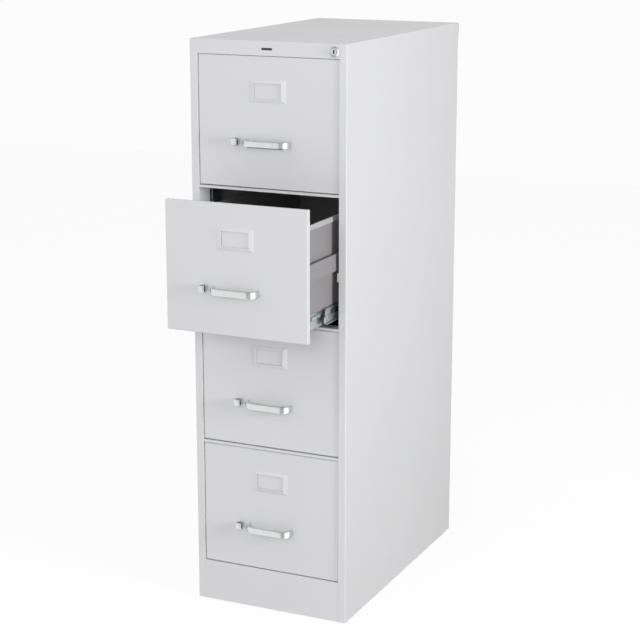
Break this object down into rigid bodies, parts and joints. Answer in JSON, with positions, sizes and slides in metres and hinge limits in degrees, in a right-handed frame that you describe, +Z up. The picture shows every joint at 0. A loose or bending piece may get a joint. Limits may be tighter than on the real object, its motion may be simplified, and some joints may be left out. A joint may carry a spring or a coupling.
{
  "type": "vertical filing cabinet",
  "caption": "Upright sheet steel filing cabinet with stacked deep drawers on full-extension slides, bow handles, thumb latches, label holders and a lock; one drawer stands part open.",
  "frame": {"origin": "bottom centre of the bounding box with the second drawer from the top 160 mm open", "axes": "+Z up, -Y out of the drawer fronts, +X to the right of someone who faces the fronts"},
  "size_m": [0.381, 0.86, 1.321],
  "materials": {
    "case_paint": "smooth light grey powder coat",
    "drawer_paint": "mid grey paint",
    "zinc": "bright zinc plate",
    "bright_chrome": "satin chrome",
    "glide_plastic": "black plastic pad on a steel stem",
    "badge_finish": "dark satin"
  },
  "bodies": {
    "case": {"side_panel_left": "case_paint", "side_panel_right": "case_paint", "back_panel": "case_paint", "top_cap": "case_paint", "top_rail": "case_paint", "cross_rails": "case_paint", "kick_panel": "case_paint", "slide_uprights": "zinc", "base_channels": "zinc", "levelling_glides": "glide_plastic", "slide_case_members": "zinc", "badge": "badge_finish", "lock_housing": "bright_chrome"},
    "lock_plug": {"lock_plug": "bright_chrome"},
    "lock_bar": {"lock_bar": "zinc"},
    "drawer_1": {"drawer_front_1": "case_paint", "drawer_liner_1": "case_paint", "drawer_tub_1": "drawer_paint", "side_extensions_1": "drawer_paint", "lock_catch_1": "zinc", "drawer_back_1": "drawer_paint", "handle_1": "bright_chrome", "label_holder_1": "case_paint", "slide_drawer_members_1": "zinc"},
    "slide_middle_1": {"slide_middle_members_1": "zinc"},
    "thumb_latch_1": {"thumb_latch_1": "bright_chrome"},
    "drawer_2": {"drawer_front_2": "case_paint", "drawer_liner_2": "case_paint", "drawer_tub_2": "drawer_paint", "side_extensions_2": "drawer_paint", "lock_catch_2": "zinc", "drawer_back_2": "drawer_paint", "handle_2": "bright_chrome", "label_holder_2": "case_paint", "slide_drawer_members_2": "zinc"},
    "slide_middle_2": {"slide_middle_members_2": "zinc"},
    "thumb_latch_2": {"thumb_latch_2": "bright_chrome"},
    "drawer_3": {"drawer_front_3": "case_paint", "drawer_liner_3": "case_paint", "drawer_tub_3": "drawer_paint", "side_extensions_3": "drawer_paint", "lock_catch_3": "zinc", "drawer_back_3": "drawer_paint", "handle_3": "bright_chrome", "label_holder_3": "case_paint", "slide_drawer_members_3": "zinc"},
    "slide_middle_3": {"slide_middle_members_3": "zinc"},
    "thumb_latch_3": {"thumb_latch_3": "bright_chrome"},
    "drawer_4": {"drawer_front_4": "case_paint", "drawer_liner_4": "case_paint", "drawer_tub_4": "drawer_paint", "side_extensions_4": "drawer_paint", "lock_catch_4": "zinc", "drawer_back_4": "drawer_paint", "handle_4": "bright_chrome", "label_holder_4": "case_paint", "slide_drawer_members_4": "zinc"},
    "slide_middle_4": {"slide_middle_members_4": "zinc"},
    "thumb_latch_4": {"thumb_latch_4": "bright_chrome"}
  },
  "joints": [
    {"name": "lock_turn", "type": "hinge", "parent": "case", "child": "lock_plug", "pos_m": [0.161, -0.246, 1.304], "axis": [0, 1, 0], "range_deg": [0, 90]},
    {"name": "lock_bar_slide", "type": "slide", "parent": "case", "child": "lock_bar", "axis": [0, 0, 1], "range_m": [-0.01275, 0]},
    {"name": "drawer_1_slide", "type": "slide", "parent": "case", "child": "drawer_1", "axis": [0, -1, 0], "range_m": [0, 0.6]},
    {"name": "slide_middle_1_run", "type": "slide", "parent": "case", "child": "slide_middle_1", "axis": [0, -1, 0], "range_m": [0, 0.3]},
    {"name": "thumb_latch_1_press", "type": "slide", "parent": "drawer_1", "child": "thumb_latch_1", "axis": [1, 0, 0], "range_m": [0, 0.006], "stiffness_N_per_m": 300},
    {"name": "drawer_2_slide", "type": "slide", "parent": "case", "child": "drawer_2", "axis": [0, -1, 0], "range_m": [0, 0.6]},
    {"name": "slide_middle_2_run", "type": "slide", "parent": "case", "child": "slide_middle_2", "axis": [0, -1, 0], "range_m": [0, 0.3]},
    {"name": "thumb_latch_2_press", "type": "slide", "parent": "drawer_2", "child": "thumb_latch_2", "axis": [1, 0, 0], "range_m": [0, 0.006], "stiffness_N_per_m": 300},
    {"name": "drawer_3_slide", "type": "slide", "parent": "case", "child": "drawer_3", "axis": [0, -1, 0], "range_m": [-0.16, 0.44]},
    {"name": "slide_middle_3_run", "type": "slide", "parent": "case", "child": "slide_middle_3", "axis": [0, -1, 0], "range_m": [-0.08, 0.22]},
    {"name": "thumb_latch_3_press", "type": "slide", "parent": "drawer_3", "child": "thumb_latch_3", "axis": [1, 0, 0], "range_m": [0, 0.006], "stiffness_N_per_m": 300},
    {"name": "drawer_4_slide", "type": "slide", "parent": "case", "child": "drawer_4", "axis": [0, -1, 0], "range_m": [0, 0.6]},
    {"name": "slide_middle_4_run", "type": "slide", "parent": "case", "child": "slide_middle_4", "axis": [0, -1, 0], "range_m": [0, 0.3]},
    {"name": "thumb_latch_4_press", "type": "slide", "parent": "drawer_4", "child": "thumb_latch_4", "axis": [1, 0, 0], "range_m": [0, 0.006], "stiffness_N_per_m": 300}
  ],
  "couplings": [
    {"joint": "lock_turn", "follows": "lock_bar_slide", "rad_per_m": -123.2},
    {"joint": "slide_middle_1_run", "follows": "drawer_1_slide", "ratio": 0.5},
    {"joint": "slide_middle_2_run", "follows": "drawer_2_slide", "ratio": 0.5},
    {"joint": "slide_middle_3_run", "follows": "drawer_3_slide", "ratio": 0.5},
    {"joint": "slide_middle_4_run", "follows": "drawer_4_slide", "ratio": 0.5}
  ]
}
